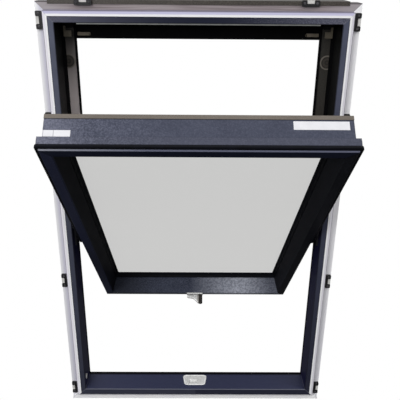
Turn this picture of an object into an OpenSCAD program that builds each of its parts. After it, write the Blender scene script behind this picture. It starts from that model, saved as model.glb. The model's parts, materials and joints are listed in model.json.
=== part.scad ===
// Centre-pivot roof window: a PVC frame and a double-glazed PVC sash that tilts on two side
// hinges. X runs across the window, Y points outdoors and Z runs up the window. The origin is
// on the sill's underside, in the middle of the window's width and of the jambs' main depth.
// Sections are drawn as [inset, depth]: the inset counts inwards from the outer edge, the depth
// counts outdoors from the frame's room-side face or, on the sash, from its gasket's face.

/* [Frame] */
// Width over the frame
frame_w = 780; // [550:1:1340]
// Height over the frame
frame_h = 1180; // [780:1:1600]
// Depth of the frame profile
frame_depth = 75; // [70:0.5:100]
// Width of the recessed outer flange
flange_w = 19.5; // [14:0.5:30]
// How far the flange sits behind the room-side face
flange_recess = 25; // [15:0.5:30]
// How far the sill's own flange sits behind the room-side face
sill_recess = 12; // [10:0.5:15]
// Width of the white band on the room-side face
band_w = 12; // [8:0.5:20]
// Width of the foiled band on the room-side face
face_w = 15; // [10:0.5:25]
// Wall of the PVC profiles
pvc_wall = 3; // [2:0.1:4]
// Wall of the steel tubes inside the profiles
steel_wall = 2; // [1.2:0.1:3]

/* [Sash] */
// Gap between the sash's gasket and the head and sill
sash_gap = 11.5; // [10:0.5:16]
// Gap between the sash's gasket and each jamb
side_gap = 14.5; // [12:0.5:16]
// How far the sash's gasket sits behind the frame's room-side face
sash_set_back = 4; // [2:0.5:8]
// How far the sash is tilted open as drawn
open_angle = 43.5; // [0:0.5:90]
// Depth of the pivot behind the frame's room-side face
pivot_depth = 66; // [58:0.5:66]
// Width of the sash's flat room-side face
flat_w = 23.5; // [20:0.5:34]
// Thickness of the sash profile behind its gasket
sash_depth = 74; // [70:0.5:90]

/* [Glass] */
// Thickness of one pane
pane_t = 4; // [3:0.5:6]
// Gap between the panes
pane_gap = 12; // [8:0.5:12]
// How far the inner pane sits behind the sash's gasket
pane_depth = 67; // [64:0.5:70]

/* [Covers] */
// Sheet thickness of the aluminium covers
sheet = 1.5; // [1:0.1:2.5]
// How far the upper side covers sit behind the frame's room-side face
cover_depth = 92; // [91:0.5:94]
// How far the upper side covers reach in from the frame's outer edge
cover_reach = 76.5; // [70:0.5:80]
// How far the head stop reaches in from the frame's outer edge
head_reach = 87; // [84:0.5:90]
// Width of the rubber edge on the covers
cover_rubber = 5.5; // [4:0.5:8]
// How far above the pivot the upper side covers start
cover_start = 100; // [95:1:160]

/* [Fittings] */
// Radius of the pivot pins
pin_r = 5; // [4:0.5:6]
// Radial clearance of a pin in its hinge
pin_fit = 0.05; // [0.02:0.01:0.1]
// Length of the latch plate
latch_w = 58; // [50:1:80]
// Length of the latch handle from its spindle
handle_l = 48; // [36:1:60]
// Travel of the latch bolt
bolt_travel = 14; // [10:0.5:14]
// Radius of the screw shanks
screw_r = 2; // [1.5:0.1:2.5]

/* [Hidden] */
$fn = 48;

touch = 0.3;   // gap left between pieces that seat without being pressed together
deep = 300;    // half length of the prisms that cut the mitres
over = 1;      // how far a cut runs past the face that it opens

// Frame
front_y = -(flange_recess + frame_depth) / 2; // puts the middle of the underside at Y = 0
frame_inset = flange_w + band_w + face_w;
band_slope = [7, 5];                          // run and fall of the white band's outer slope
edge_r = 1.5;
rib_depth = flange_recess;                    // the rib between the front and main chambers
main_chamber = [rib_depth + pvc_wall, frame_depth - 13];
pivot_z = frame_h / 2;
open_w = frame_w - 2 * frame_inset;
open_h = frame_h - 2 * frame_inset;
fixing_r = 2.5;
fixing_spacing = frame_h * 0.38;              // places of the fixing holes, in step with the height

// Sash
sash_w = open_w - 2 * side_gap;
sash_h = open_h - 2 * sash_gap;
flat_depth = -4;                              // the flat stands proud of the gasket
flat_start = 8;
flat_end = flat_start + flat_w;
lip_inset = 3.7;
lip_depth = [9, 26];
body_inset = 12.2;
bevel_end = [43.5, 48];
rebate_depth = 62;
rebate_inset = 28;
glass_inset = rebate_inset + 3;
glass_end = pane_depth + 2 * pane_t + pane_gap;
pivot_in_sash = pivot_depth - sash_set_back;

// Sash covers: the edge leg, the flat and the slope up to the glass
sash_cover_in = 11.6;
sash_cover_top_d = sash_depth + 10;
slope_start = 27;
slope_end = 30.5;
glass_lap = 48;                               // how far the covers reach in over the glass
glass_seal_t = 2;
head_depth = sash_set_back + glass_end + glass_seal_t + sheet + 0.5; // clear of the shut sash

// Hinges
hinge_plate_t = 5;
hinge_half = 55;
hinge_boss_r = 9;
sash_boss_r = 13;
washer_t = 2;
wall_x = open_w / 2;
body_x = sash_w / 2 - body_inset;
hinge_screw_at = [-40, 40];

// Latch and striker, along the width and from the sash's outer edge
latch_x = -2;
latch_inset = 21;
latch_plate_size = [20, 4];
spindle_x = latch_x + 20;
spindle_r = 4;
hub_r = 7.5;
hub_l = 34;
bolt_size = [24, 14, 20];
bolt_depth = 35;
bolt_out = 1;                                 // the bolt's reach past the gasket when drawn back
striker_size = [76, 48];
striker_t = 2;

// ---- shapes shared by the profiles ----

// The piece of a w by h rectangle's left side, mitred at both ends
module left_of(w, h, reach) {
    intersection() {
        translate([-w / 2, 0, 0])
            linear_extrude(height = h) children();
        mitre([[-w / 2, 0], [-w / 2 + reach, reach], [-w / 2 + reach, h - reach], [-w / 2, h]]);
    }
}

module right_of(w, h, reach) {
    mirror([1, 0, 0]) left_of(w, h, reach) children();
}

module bottom_of(w, h, reach) {
    intersection() {
        rotate([0, -90, 0])
            linear_extrude(height = w, center = true) children();
        mitre([[-w / 2, 0], [w / 2, 0], [w / 2 - reach, reach], [-w / 2 + reach, reach]]);
    }
}

module top_of(w, h, reach) {
    translate([0, 0, h]) mirror([0, 0, 1]) bottom_of(w, h, reach) children();
}

module ring_of(w, h, reach) {
    left_of(w, h, reach) children();
    right_of(w, h, reach) children();
    bottom_of(w, h, reach) children();
    top_of(w, h, reach) children();
}

module mitre(outline) {
    rotate([90, 0, 0])
        linear_extrude(height = 2 * deep, center = true) polygon(outline);
}

// A straight length along Z at the frame's left edge
module upright(z_low, z_high) {
    translate([-frame_w / 2, 0, z_low])
        linear_extrude(height = z_high - z_low) children();
}

// A straight length along X, with the inset counted down from the frame's top edge
module across_head(x_low, x_high) {
    translate([x_high, 0, frame_h])
        rotate([0, 90, 180])
            mirror([0, 1, 0])
                linear_extrude(height = x_high - x_low) children();
}

// The same along the sill, with the inset counted up from the bottom edge
module across_sill(x_low, x_high) {
    translate([0, 0, frame_h]) mirror([0, 0, 1]) across_head(x_low, x_high) children();
}

module both_sides() {
    children();
    mirror([1, 0, 0]) children();
}

// Cuts a square corner at [x, y] to a radius; the flips say which way the material lies
module corner_cut(x, y, r, flip_x, flip_y) {
    translate([x, y])
        mirror([flip_x, 0, 0])
            mirror([0, flip_y, 0])
                difference() {
                    translate([-over, -over]) square(r + over);
                    translate([r, r]) circle(r = r);
                }
}

module rounded_rect(w, h, r) {
    square([w - 2 * r, h], center = true);
    square([w, h - 2 * r], center = true);
    for (sx = [-1, 1], sy = [-1, 1])
        translate([sx * (w / 2 - r), sy * (h / 2 - r)]) circle(r = r);
}

module box_tube(low, high, wall) {
    difference() {
        translate(low) square(high - low);
        translate(low + [wall, wall]) square(high - low - 2 * [wall, wall]);
    }
}

// A countersunk screw with its head's face at the origin and its shank along -Z
module screw(length, head_r = 4) {
    translate([0, 0, -head_r / 2]) cylinder(r1 = screw_r, r2 = head_r, h = head_r / 2);
    translate([0, 0, -length]) cylinder(r = screw_r, h = length - head_r / 2);
}

module placed() {
    translate([0, front_y, 0]) children();
}

// The sash is drawn closed and then tilted about the pivot
module sash_placed() {
    placed()
        translate([0, pivot_depth, pivot_z])
            rotate([open_angle, 0, 0])
                translate([0, -pivot_in_sash, -sash_h / 2]) children();
}

// ---- frame profiles ----

module frame_outline(recess) {
    difference() {
        polygon([
            [0, recess], [flange_w, recess], [flange_w, band_slope[1]],
            [flange_w + band_slope[0], 0], [frame_inset, 0], [frame_inset, frame_depth],
            [0, frame_depth]
        ]);
        corner_cut(frame_inset, 0, edge_r, 1, 0);
    }
}

module frame_section(recess = flange_recess) {
    inner = frame_inset - pvc_wall;
    difference() {
        frame_outline(recess);
        polygon([
            [flange_w + pvc_wall, band_slope[1] + pvc_wall / 2],
            [flange_w + band_slope[0] + 1, pvc_wall], [inner, pvc_wall],
            [inner, rib_depth], [flange_w + pvc_wall, rib_depth]
        ]);
        translate([pvc_wall, main_chamber[0]])
            square([inner - pvc_wall, main_chamber[1] - main_chamber[0]]);
        translate([pvc_wall, main_chamber[1] + pvc_wall])
            square([inner - pvc_wall, frame_depth - main_chamber[1] - 2 * pvc_wall]);
    }
}

module frame_steel_section() {
    box_tube([pvc_wall + touch, main_chamber[0] + touch],
             [frame_inset - pvc_wall - touch, main_chamber[1] - touch], steel_wall);
}

// Holes in a jamb's outer wall for the brackets that fix the window to the battens
module fixing_holes() {
    for (k = [-1, 1])
        translate([-frame_w / 2 - over, flange_recess + frame_depth / 3, pivot_z + k * fixing_spacing])
            rotate([0, 90, 0]) cylinder(r = fixing_r, h = 2 * pvc_wall + steel_wall + over);
}

module jamb() {
    difference() {
        left_of(frame_w, frame_h, frame_inset) frame_section();
        fixing_holes();
    }
}

module frame_left_jamb() {
    color("whitesmoke") placed() jamb();
}

module frame_right_jamb() {
    color("whitesmoke") placed() mirror([1, 0, 0]) jamb();
}

module frame_head() {
    color("whitesmoke") placed() top_of(frame_w, frame_h, frame_inset) frame_section();
}

module frame_sill() {
    color("whitesmoke") placed() difference() {
        bottom_of(frame_w, frame_h, frame_inset) difference() {
            frame_section(sill_recess);
            translate([pvc_wall, sill_recess + pvc_wall])
                square([flange_w - pvc_wall, rib_depth - sill_recess - pvc_wall]);
        }
        bolt_pocket();
    }
}

module frame_steel() {
    end_gap = frame_inset + 14;
    color("silver") placed() {
        both_sides() difference() {
            upright(end_gap, frame_h - end_gap) frame_steel_section();
            fixing_holes();
        }
        across_head(-frame_w / 2 + end_gap, frame_w / 2 - end_gap) frame_steel_section();
        difference() {
            across_sill(-frame_w / 2 + end_gap, frame_w / 2 - end_gap) frame_steel_section();
            bolt_pocket();
        }
    }
}

// ---- frame covers, stops and seals ----

cover_leg = 24;
cover_top_gap = 65; // where the side covers end below the frame's top edge

module jamb_cover() {
    upright(pivot_z + cover_start, frame_h - cover_top_gap) polygon([
        [-sheet, cover_depth - cover_leg], [0, cover_depth - cover_leg], [0, cover_depth],
        [cover_reach, cover_depth], [cover_reach, cover_depth + sheet],
        [-sheet, cover_depth + sheet]
    ]);
}

module jamb_cover_left() {
    color("dimgray") placed() jamb_cover();
}

module jamb_cover_right() {
    color("dimgray") placed() mirror([1, 0, 0]) jamb_cover();
}

head_cover_w = frame_w - 60;
head_cover_rise = 4;
head_leg = 10;

module head_cover() {
    lip = flange_recess - sheet;
    back = head_depth + sheet;
    color("dimgray") placed() across_head(-head_cover_w / 2, head_cover_w / 2) polygon([
        [head_leg - head_cover_rise, lip], [-head_cover_rise, lip],
        [-head_cover_rise, back], [head_reach, back], [head_reach, head_depth],
        [sheet - head_cover_rise, head_depth], [sheet - head_cover_rise, flange_recess],
        [head_leg - head_cover_rise, flange_recess]
    ]);
}

stop_half = frame_w / 2 - cover_reach - touch;
stop_t = 1;

// The wedge that closes the step between the profile and the covers at depth
function seal_wedge(depth) = [
    [frame_inset - 6.5, frame_depth], [frame_inset, frame_depth],
    [frame_inset + 6, depth], [frame_inset - 6.5, depth]
];

module head_stop() {
    color("black") placed() across_head(-stop_half, stop_half) {
        polygon(seal_wedge(head_depth));
        translate([frame_inset, head_depth - stop_t]) square([head_reach - frame_inset, stop_t]);
    }
}

strip_size = [580, 3, 7];

module head_strip() {
    color("silver") placed()
        translate([-strip_size[0] / 2, edge_r, frame_h - frame_inset - strip_size[1]])
            cube([strip_size[0], strip_size[2], strip_size[1]]);
}

catch_size = [30, 5.5, 8];
catch_x = 290;

module head_catches() {
    color("tan") placed() both_sides()
        translate([-catch_x - catch_size[0] / 2, head_depth - stop_t - catch_size[1],
                   frame_h - head_reach + 2.5])
            cube(catch_size);
}

// The blocks in the head's corners, between the side covers and the head
module corner_blocks() {
    color("black") placed() both_sides()
        translate([-wall_x + 6.5, frame_depth, frame_h - cover_top_gap])
            cube([wall_x - 6.5 - stop_half - touch, head_depth - frame_depth,
                  cover_top_gap - frame_inset + 6]);
}

// The painted angles in front of the corner blocks
module corner_angles() {
    bar = [wall_x - 6.5, wall_x - 12];
    in_x = wall_x - side_gap - body_inset + 1;
    color("dimgray") placed() both_sides()
        translate([0, frame_depth - touch, frame_h])
            rotate([90, 0, 0]) linear_extrude(height = sheet) polygon([
                [-bar[0], -86], [-in_x, -86], [-in_x, -71], [-bar[1], -71], [-bar[1], -60],
                [-bar[0], -60]
            ]);
}

module jamb_seals() {
    color("black") placed() both_sides()
        upright(pivot_z + cover_start, frame_h - frame_inset) polygon(seal_wedge(cover_depth));
}

module cover_rubbers() {
    low = cover_depth - 3.7;
    color("black") placed() {
        both_sides()
            upright(pivot_z + cover_start, frame_h - cover_top_gap - touch)
                translate([cover_reach, low]) square([cover_rubber, cover_depth + sheet - low]);
        across_head(-stop_half, stop_half)
            translate([head_reach, head_depth]) square([cover_rubber, 3.5]);
    }
}

boss_r = 18;
boss_h = 2.4;
boss_inset = 57;

module cover_bosses() {
    color("dimgray") placed() both_sides()
        translate([-frame_w / 2 + boss_inset, cover_depth, frame_h - 148])
            rotate([90, 0, 0]) difference() {
                cylinder(r = boss_r, h = boss_h);
                translate([0, 0, boss_h - 0.8]) cylinder(r = boss_r - 5, h = over);
                translate([-boss_r - over, -boss_r - over, -over])
                    cube([boss_r + over - (boss_inset - frame_inset - 6 - touch),
                          2 * boss_r + 2 * over, boss_h + 2 * over]);
            }
}

lower_end = 5; // how far the lower covers stop short of the pivot
lower_reach = frame_inset - 5;

module lower_cover_section(leg) {
    polygon([
        [-leg, frame_depth - 15], [0, frame_depth - 15], [0, frame_depth],
        [lower_reach, frame_depth], [lower_reach, frame_depth + sheet],
        [-leg, frame_depth + sheet]
    ]);
}

module lower_cover() {
    upright(0, pivot_z - lower_end) lower_cover_section(sheet);
}

module lower_cover_left() {
    color("dimgray") placed() lower_cover();
}

module lower_cover_right() {
    color("dimgray") placed() mirror([1, 0, 0]) lower_cover();
}

module sill_cover() {
    half = frame_w / 2 - lower_reach - touch;
    color("dimgray") placed() across_sill(-half, half)
        translate([0, frame_depth]) square([lower_reach, sheet]);
}

lower_gasket_h = 9;

module lower_gaskets() {
    top = pivot_z - hinge_half - 6;
    color("black") placed() intersection() {
        ring_of(frame_w, frame_h, frame_inset + 2 * over) polygon([
            [lower_reach + touch, frame_depth], [frame_inset, frame_depth],
            [frame_inset + 1, frame_depth + 1.5], [frame_inset + 1, frame_depth + lower_gasket_h],
            [lower_reach + touch, frame_depth + 3]
        ]);
        translate([-frame_w, 0, 0]) cube([2 * frame_w, deep, top]);
    }
}

// ---- clips on the flange ----

clip_size = [14.5, 42];
clip_pad = 12;
clip_t = 6;
clip_z = [frame_h - 42.5, pivot_z + 304, pivot_z - 166, 37];
head_clip_x = [-275, 266];

// A clip drawn flat: two pads joined by a narrow bar on the inner side
module clip() {
    bar = clip_size[0] * 0.45;
    linear_extrude(height = clip_t) difference() {
        union() {
            for (s = [-1, 1])
                translate([0, s * (clip_size[1] - clip_pad) / 2])
                    rounded_rect(clip_size[0], clip_pad, 2.5);
            translate([clip_size[0] / 2 - bar, -clip_size[1] / 2 + 4])
                square([bar, clip_size[1] - 8]);
        }
        for (s = [-1, 1])
            translate([0, s * (clip_size[1] - clip_pad) / 2]) circle(r = 2);
    }
}

module clip_insert() {
    length = clip_size[1] - 2 * clip_pad - 2 * touch;
    translate([-clip_size[0] / 2, -length / 2, 0])
        cube([clip_size[0] * 0.55 - touch, length, clip_t - 2]);
}

// Puts a shape drawn flat onto the left flange at height z
module on_flange(z) {
    translate([-frame_w / 2 + clip_size[0] / 2, flange_recess, z])
        rotate([90, 0, 0]) children();
}

module on_head(x) {
    translate([x, flange_recess - sheet, frame_h - head_leg / 2 + head_cover_rise])
        rotate([90, 90, 0]) children();
}

module clips_left() {
    color("black") placed()
        for (z = clip_z) on_flange(z) clip();
}

module clips_right() {
    color("black") placed() mirror([1, 0, 0])
        for (z = clip_z) on_flange(z) clip();
}

module clips_head() {
    color("black") placed()
        for (x = head_clip_x) on_head(x) clip();
}

module clip_inserts() {
    color("lightgray") placed() {
        both_sides()
            for (z = clip_z) on_flange(z) clip_insert();
        for (x = head_clip_x) on_head(x) clip_insert();
    }
}

// ---- striker, plug and hinges on the frame ----

striker_y = 44.5;
pocket_half = [bolt_size[0] / 2 + 1.5, bolt_size[1] / 2 + 1.5];
bolt_x = latch_x - 6;

// The opening in the sill that takes the bolt when the sash is shut
module bolt_pocket() {
    translate([bolt_x - pocket_half[0], sash_set_back + bolt_depth - pocket_half[1],
               frame_inset - pvc_wall - steel_wall - 2 * touch])
        cube([2 * pocket_half[0], 2 * pocket_half[1], 2 * pvc_wall + steel_wall + striker_t + over]);
}

striker_screw_at = [-29, 29];
cup_wall = 0.8; // the thin cup under the striker lines the bolt pocket

// A block that fills the bolt pocket less a margin on each side, from z_low up
module pocket_block(margin, z_low, z_high) {
    translate([bolt_x - pocket_half[0] + margin, sash_set_back + bolt_depth - pocket_half[1] + margin,
               z_low])
        cube([2 * (pocket_half[0] - margin), 2 * (pocket_half[1] - margin), z_high - z_low]);
}

module striker_plate() {
    cup_low = frame_inset - pvc_wall - steel_wall - touch;
    color("gainsboro") placed() difference() {
        union() {
            translate([latch_x, striker_y, frame_inset]) difference() {
                linear_extrude(height = striker_t) rounded_rect(striker_size[0], striker_size[1], 8);
                translate([0, 0, striker_t - 0.8])
                    linear_extrude(height = over)
                        rounded_rect(striker_size[0] - 14, striker_size[1] - 14, 4);
                for (x = striker_screw_at)
                    translate([x, 12, -over]) cylinder(r = 4 + touch, h = 2 * over + striker_t);
            }
            pocket_block(touch, cup_low, frame_inset + 0.5);
        }
        pocket_block(touch + cup_wall, cup_low + cup_wall, frame_inset + striker_t + over);
    }
}

module striker_screws() {
    color("silver") placed()
        for (x = striker_screw_at)
            translate([latch_x + x, striker_y + 12, frame_inset + striker_t - 0.8])
                cylinder(r = 4, h = 0.8 + touch);
}

module jamb_plug() {
    color("ivory") placed()
        translate([-wall_x, 23, 79])
            rotate([0, 90, 0]) cylinder(r = 9, h = 1.6);
}

hinge_low = 28;

module frame_hinge() {
    color("slategray") placed() difference() {
        translate([-wall_x, 0, pivot_z]) {
            translate([0, hinge_low, -hinge_half])
                cube([hinge_plate_t, frame_depth - hinge_low, 2 * hinge_half]);
        }
        pin_bore(-wall_x - over, hinge_plate_t + 2 * over);
        for (z = hinge_screw_at)
            translate([-wall_x - over, hinge_low + 12, pivot_z + z])
                rotate([0, 90, 0]) cylinder(r = 4 + touch, h = hinge_plate_t + 2 * over);
    }
}

module pin_bore(x, length) {
    translate([x, pivot_depth, pivot_z])
        rotate([0, 90, 0]) cylinder(r = pin_r + pin_fit, h = length);
}

module frame_hinge_left() {
    frame_hinge();
}

module frame_hinge_right() {
    mirror([1, 0, 0]) frame_hinge();
}

module frame_hinge_screws() {
    color("silver") placed() both_sides()
        for (z = hinge_screw_at)
            translate([-wall_x, hinge_low + 12, pivot_z + z])
                rotate([0, 90, 0]) cylinder(r = 4, h = hinge_plate_t - 0.5);
}

module pivot_pins() {
    color("silver") placed() both_sides()
        translate([-wall_x, pivot_depth, pivot_z])
            rotate([0, 90, 0]) cylinder(r = pin_r, h = wall_x - body_x - touch);
}

// ---- sash profiles ----

module sash_outline() {
    difference() {
        polygon([
            [flat_end, flat_depth], [flat_start, flat_depth], [flat_start, lip_depth[0]],
            [lip_inset, lip_depth[0]], [lip_inset, lip_depth[1]], [body_inset, lip_depth[1]],
            [body_inset, sash_depth], [rebate_inset, sash_depth], [rebate_inset, rebate_depth],
            [bevel_end[0] - 2.5, rebate_depth], [bevel_end[0] - 2.5, bevel_end[1]], bevel_end
        ]);
        corner_cut(flat_start, flat_depth, 3, 0, 0);
        corner_cut(lip_inset, lip_depth[0], edge_r, 0, 0);
    }
}

sash_rib = 27;
sash_steel_low = [body_inset + pvc_wall + touch, sash_rib + pvc_wall + touch];
sash_steel_high = [flat_end + 1.5, 55 - touch];

module sash_section() {
    low = body_inset + pvc_wall;
    difference() {
        sash_outline();
        polygon([
            [flat_start + pvc_wall, flat_depth + pvc_wall],
            [flat_end - 2.5, flat_depth + pvc_wall], [flat_end + 2, sash_rib], [low, sash_rib],
            [low, lip_depth[0] + 3], [flat_start + pvc_wall, lip_depth[0] + 3]
        ]);
        translate([low, sash_rib + pvc_wall])
            square([sash_steel_high[0] + touch - low, sash_steel_high[1] + touch - sash_rib - pvc_wall]);
        translate([low, 58])
            square([rebate_inset - pvc_wall - low, sash_depth - 58 - pvc_wall]);
    }
}

module sash_steel_section() {
    box_tube(sash_steel_low, sash_steel_high, steel_wall);
}

module sash_top_rail() {
    color("darkslategray") sash_placed() top_of(sash_w, sash_h, 60) sash_section();
}

// The slot in the bottom rail that guides the bolt
module bolt_slot() {
    translate([bolt_x - bolt_size[0] / 2 - touch, bolt_depth - bolt_size[1] / 2 - touch,
               -over])
        cube([bolt_size[0] + 2 * touch, bolt_size[1] + 2 * touch,
              bolt_size[2] + bolt_out + over + 1.5]);
}

module sash_bottom_rail() {
    color("darkslategray") sash_placed() difference() {
        bottom_of(sash_w, sash_h, 60) sash_section();
        bolt_slot();
        spindle_hole();
    }
}

module sash_left_stile() {
    color("darkslategray") sash_placed() left_of(sash_w, sash_h, 60) sash_section();
}

module sash_right_stile() {
    color("darkslategray") sash_placed() right_of(sash_w, sash_h, 60) sash_section();
}

module sash_steel() {
    end_gap = 70;
    color("silver") sash_placed() {
        both_sides()
            translate([-sash_w / 2, 0, end_gap])
                linear_extrude(height = sash_h - 2 * end_gap) sash_steel_section();
        difference() {
            for (z = [0, 1])
                translate([0, 0, z * sash_h]) mirror([0, 0, z])
                    rotate([0, -90, 0])
                        linear_extrude(height = sash_w - 2 * end_gap, center = true)
                            sash_steel_section();
            bolt_slot();
        }
    }
}

// ---- sash gaskets ----

lower_tip = 6.5; // the gasket on the sides' lower halves is narrower
gasket_corner_r = 8;

module gasket_section(tip) {
    most = flat_start - 0.4;
    polygon([
        [flat_start, 0], [min(tip + 2, most), 0], [tip, 2], [min(tip + 0.6, most), 5],
        [min(tip + lip_inset, most), lip_depth[0]], [flat_start, lip_depth[0]]
    ]);
}

// The block that rounds the gasket's corners, as wide as the sash less an inset on each side
module rounded_block(inset, z_low, z_high) {
    intersection() {
        translate([0, deep, sash_h / 2])
            rotate([90, 0, 0])
                linear_extrude(height = 2 * deep)
                    rounded_rect(sash_w - 2 * inset, sash_h, gasket_corner_r);
        translate([-sash_w, -deep, z_low]) cube([2 * sash_w, 2 * deep, z_high - z_low]);
    }
}

module sash_gasket() {
    color("black") sash_placed() {
        intersection() {
            ring_of(sash_w, sash_h, flat_start + over) gasket_section(0);
            rounded_block(0, sash_h / 2, sash_h + over);
        }
        intersection() {
            union() {
                left_of(sash_w, sash_h, flat_start + over) gasket_section(lower_tip);
                right_of(sash_w, sash_h, flat_start + over) gasket_section(lower_tip);
                bottom_of(sash_w, sash_h, flat_start + over) gasket_section(0);
            }
            rounded_block(lower_tip, -over, sash_h / 2 - touch);
        }
    }
}

seal_lap = 0.6; // how far the shut sash's lower seal lies outside the frame's gaskets
seal_reach = side_gap + 0.5;

module sash_lower_seal() {
    top = sash_h / 2 - hinge_half - 10;
    lap = frame_depth + lower_gasket_h + seal_lap - sash_set_back;
    color("black") sash_placed() intersection() {
        translate([0, 0, -seal_reach])
            ring_of(sash_w + 2 * seal_reach, sash_h + 2 * seal_reach, body_inset + seal_reach)
                translate([seal_reach, 0]) polygon([
                    [body_inset, sash_depth - 8], [body_inset, sash_depth], [8, sash_depth],
                    [1 - sash_gap / 2, lap + 2], [-seal_reach, lap + 1.2], [-seal_reach, lap],
                    [-sash_gap / 2, lap], [6, sash_depth - 4], [6, sash_depth - 8]
                ]);
        translate([-sash_w, 0, -sash_h]) cube([2 * sash_w, deep, sash_h + top]);
    }
}

// ---- glass ----

module pane(depth) {
    sash_placed()
        translate([-sash_w / 2 + glass_inset, depth, glass_inset])
            cube([sash_w - 2 * glass_inset, pane_t, sash_h - 2 * glass_inset]);
}

module inner_pane() {
    color("lightblue", 0.4) pane(pane_depth);
}

module outer_pane() {
    color("lightblue", 0.4) pane(pane_depth + pane_t + pane_gap);
}

// A square-cornered ring between the panes, from one inset to another
module pane_ring(from_inset, to_inset) {
    low = pane_depth + pane_t;
    sash_placed() difference() {
        translate([-sash_w / 2 + from_inset, low, from_inset])
            cube([sash_w - 2 * from_inset, pane_gap, sash_h - 2 * from_inset]);
        translate([-sash_w / 2 + to_inset, low - over, to_inset])
            cube([sash_w - 2 * to_inset, pane_gap + 2 * over, sash_h - 2 * to_inset]);
    }
}

spacer_inset = glass_inset + 5;
spacer_w = 7;

module spacer_bar() {
    color("gray") pane_ring(spacer_inset, spacer_inset + spacer_w);
}

module edge_sealant() {
    color("black") pane_ring(glass_inset, spacer_inset);
}

module inner_glazing_gasket() {
    leg = bevel_end[0] - 2.5;
    color("black") sash_placed() ring_of(sash_w, sash_h, 60) polygon([
        [leg - 5, rebate_depth], [leg, rebate_depth], [leg, bevel_end[1] + 2.5],
        [bevel_end[0] + 0.5, bevel_end[1] + 2.5], [bevel_end[0] + 2.5, rebate_depth - 3],
        [bevel_end[0] + 1.5, rebate_depth - 2.4], [bevel_end[0] + 7.5, pane_depth],
        [leg - 5, pane_depth]
    ]);
}

module outer_glazing_gasket() {
    color("black") sash_placed() ring_of(sash_w, sash_h, 60)
        translate([glass_lap - 7, glass_end]) square([7, glass_seal_t]);
}

block_size = [60, 20];

// The blocks that carry the glass unit in its rebate
module setting_blocks() {
    color("dimgray") sash_placed()
        for (x = [-1, 1], z = [0, 1])
            translate([x * sash_w * 0.3, 0, z * sash_h]) mirror([0, 0, z])
                translate([-block_size[0] / 2, pane_depth, rebate_inset])
                    cube([block_size[0], sash_depth - pane_depth, glass_inset - rebate_inset]);
}

// ---- sash covers ----

module sash_cover_section() {
    top = sash_cover_top_d;
    seat = glass_end + glass_seal_t;
    polygon([
        [sash_cover_in, sash_depth], [sash_cover_in + sheet, sash_depth],
        [sash_cover_in + sheet, top - sheet], [slope_start + sheet * 0.7, top - sheet],
        [slope_end + sheet * 0.7, seat], [glass_lap, seat], [glass_lap, seat + sheet],
        [slope_end, seat + sheet], [slope_start, top], [sash_cover_in, top]
    ]);
}

module sash_cover_top() {
    color("dimgray") sash_placed() top_of(sash_w, sash_h, 60) sash_cover_section();
}

module sash_cover_bottom() {
    color("dimgray") sash_placed() bottom_of(sash_w, sash_h, 60) sash_cover_section();
}

module sash_cover_left() {
    color("dimgray") sash_placed() left_of(sash_w, sash_h, 60) sash_cover_section();
}

module sash_cover_right() {
    color("dimgray") sash_placed() right_of(sash_w, sash_h, 60) sash_cover_section();
}

clip_run = 24;

// The plastic clips that hold the sash covers on the profile
module cover_clips() {
    low = [sash_cover_in + sheet + touch, sash_depth];
    size = [slope_start - sheet - low[0], 10 - sheet];
    color("dimgray") sash_placed() {
        both_sides()
            for (z = [0.15, 0.38, 0.62, 0.85])
                translate([-sash_w / 2 + low[0], low[1], z * sash_h - clip_run / 2])
                    cube([size[0], size[1], clip_run]);
        for (x = [-0.25, 0.25], z = [0, 1])
            translate([x * sash_w - clip_run / 2, low[1], z * sash_h]) mirror([0, 0, z])
                translate([0, 0, low[0]]) cube([clip_run, size[1], size[0]]);
    }
}

// ---- sash hinges ----

boss_end_x = wall_x - hinge_plate_t - washer_t - 2 * touch;

module sash_hinge() {
    color("slategray") sash_placed()
        translate([0, 0, sash_h / 2]) difference() {
            union() {
                translate([-body_x - hinge_plate_t, lip_depth[1] + 4, -45])
                    cube([hinge_plate_t, sash_depth - lip_depth[1] - 4, 90]);
                translate([-boss_end_x, pivot_in_sash, 0])
                    rotate([0, 90, 0])
                        cylinder(r = sash_boss_r - 2, h = boss_end_x - body_x - over);
            }
            translate([-boss_end_x - over, pivot_in_sash, 0])
                rotate([0, 90, 0]) cylinder(r = pin_r + pin_fit, h = boss_end_x - body_x + 2 * over);
            for (z = [-34, 34])
                translate([-body_x - hinge_plate_t - over, 45, z])
                    rotate([0, 90, 0]) cylinder(r = 4 + touch, h = hinge_plate_t + 2 * over);
        }
}

module sash_hinge_left() {
    sash_hinge();
}

module sash_hinge_right() {
    mirror([1, 0, 0]) sash_hinge();
}

module sash_hinge_screws() {
    color("silver") sash_placed() both_sides()
        for (z = [-34, 34])
            translate([-body_x - hinge_plate_t + 0.5, 45, sash_h / 2 + z])
                rotate([0, 90, 0]) cylinder(r = 4, h = hinge_plate_t - 0.5);
}

module friction_washers() {
    color("ivory") sash_placed() both_sides()
        translate([-boss_end_x - washer_t, pivot_in_sash, sash_h / 2])
            rotate([0, 90, 0]) difference() {
                cylinder(r = sash_boss_r - 2, h = washer_t);
                translate([0, 0, -over]) cylinder(r = pin_r + pin_fit, h = washer_t + 2 * over);
            }
}

// ---- labels and latch ----

label_t = 0.4;
left_label = [57, 15];
left_label_depth = 31;
right_label = [115, 20];
right_label_depth = 50;
right_label_x = 192;

module sash_labels() {
    top = sash_h - body_inset;
    color("white") sash_placed() {
        translate([-body_x - label_t, left_label_depth, top])
            cube([left_label[0], left_label[1], label_t]);
        translate([-body_x - label_t, left_label_depth, top - 14])
            cube([label_t, left_label[1], 14]);
        translate([right_label_x, right_label_depth, top])
            cube([right_label[0], right_label[1], label_t]);
    }
}

module at_latch(x) {
    translate([x, flat_depth, latch_inset])
        rotate([90, 0, 0]) children();
}

module spindle_hole() {
    translate([0, pvc_wall + over, 0])
        at_latch(spindle_x) cylinder(r = spindle_r + touch, h = pvc_wall + 2 * over);
}

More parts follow.
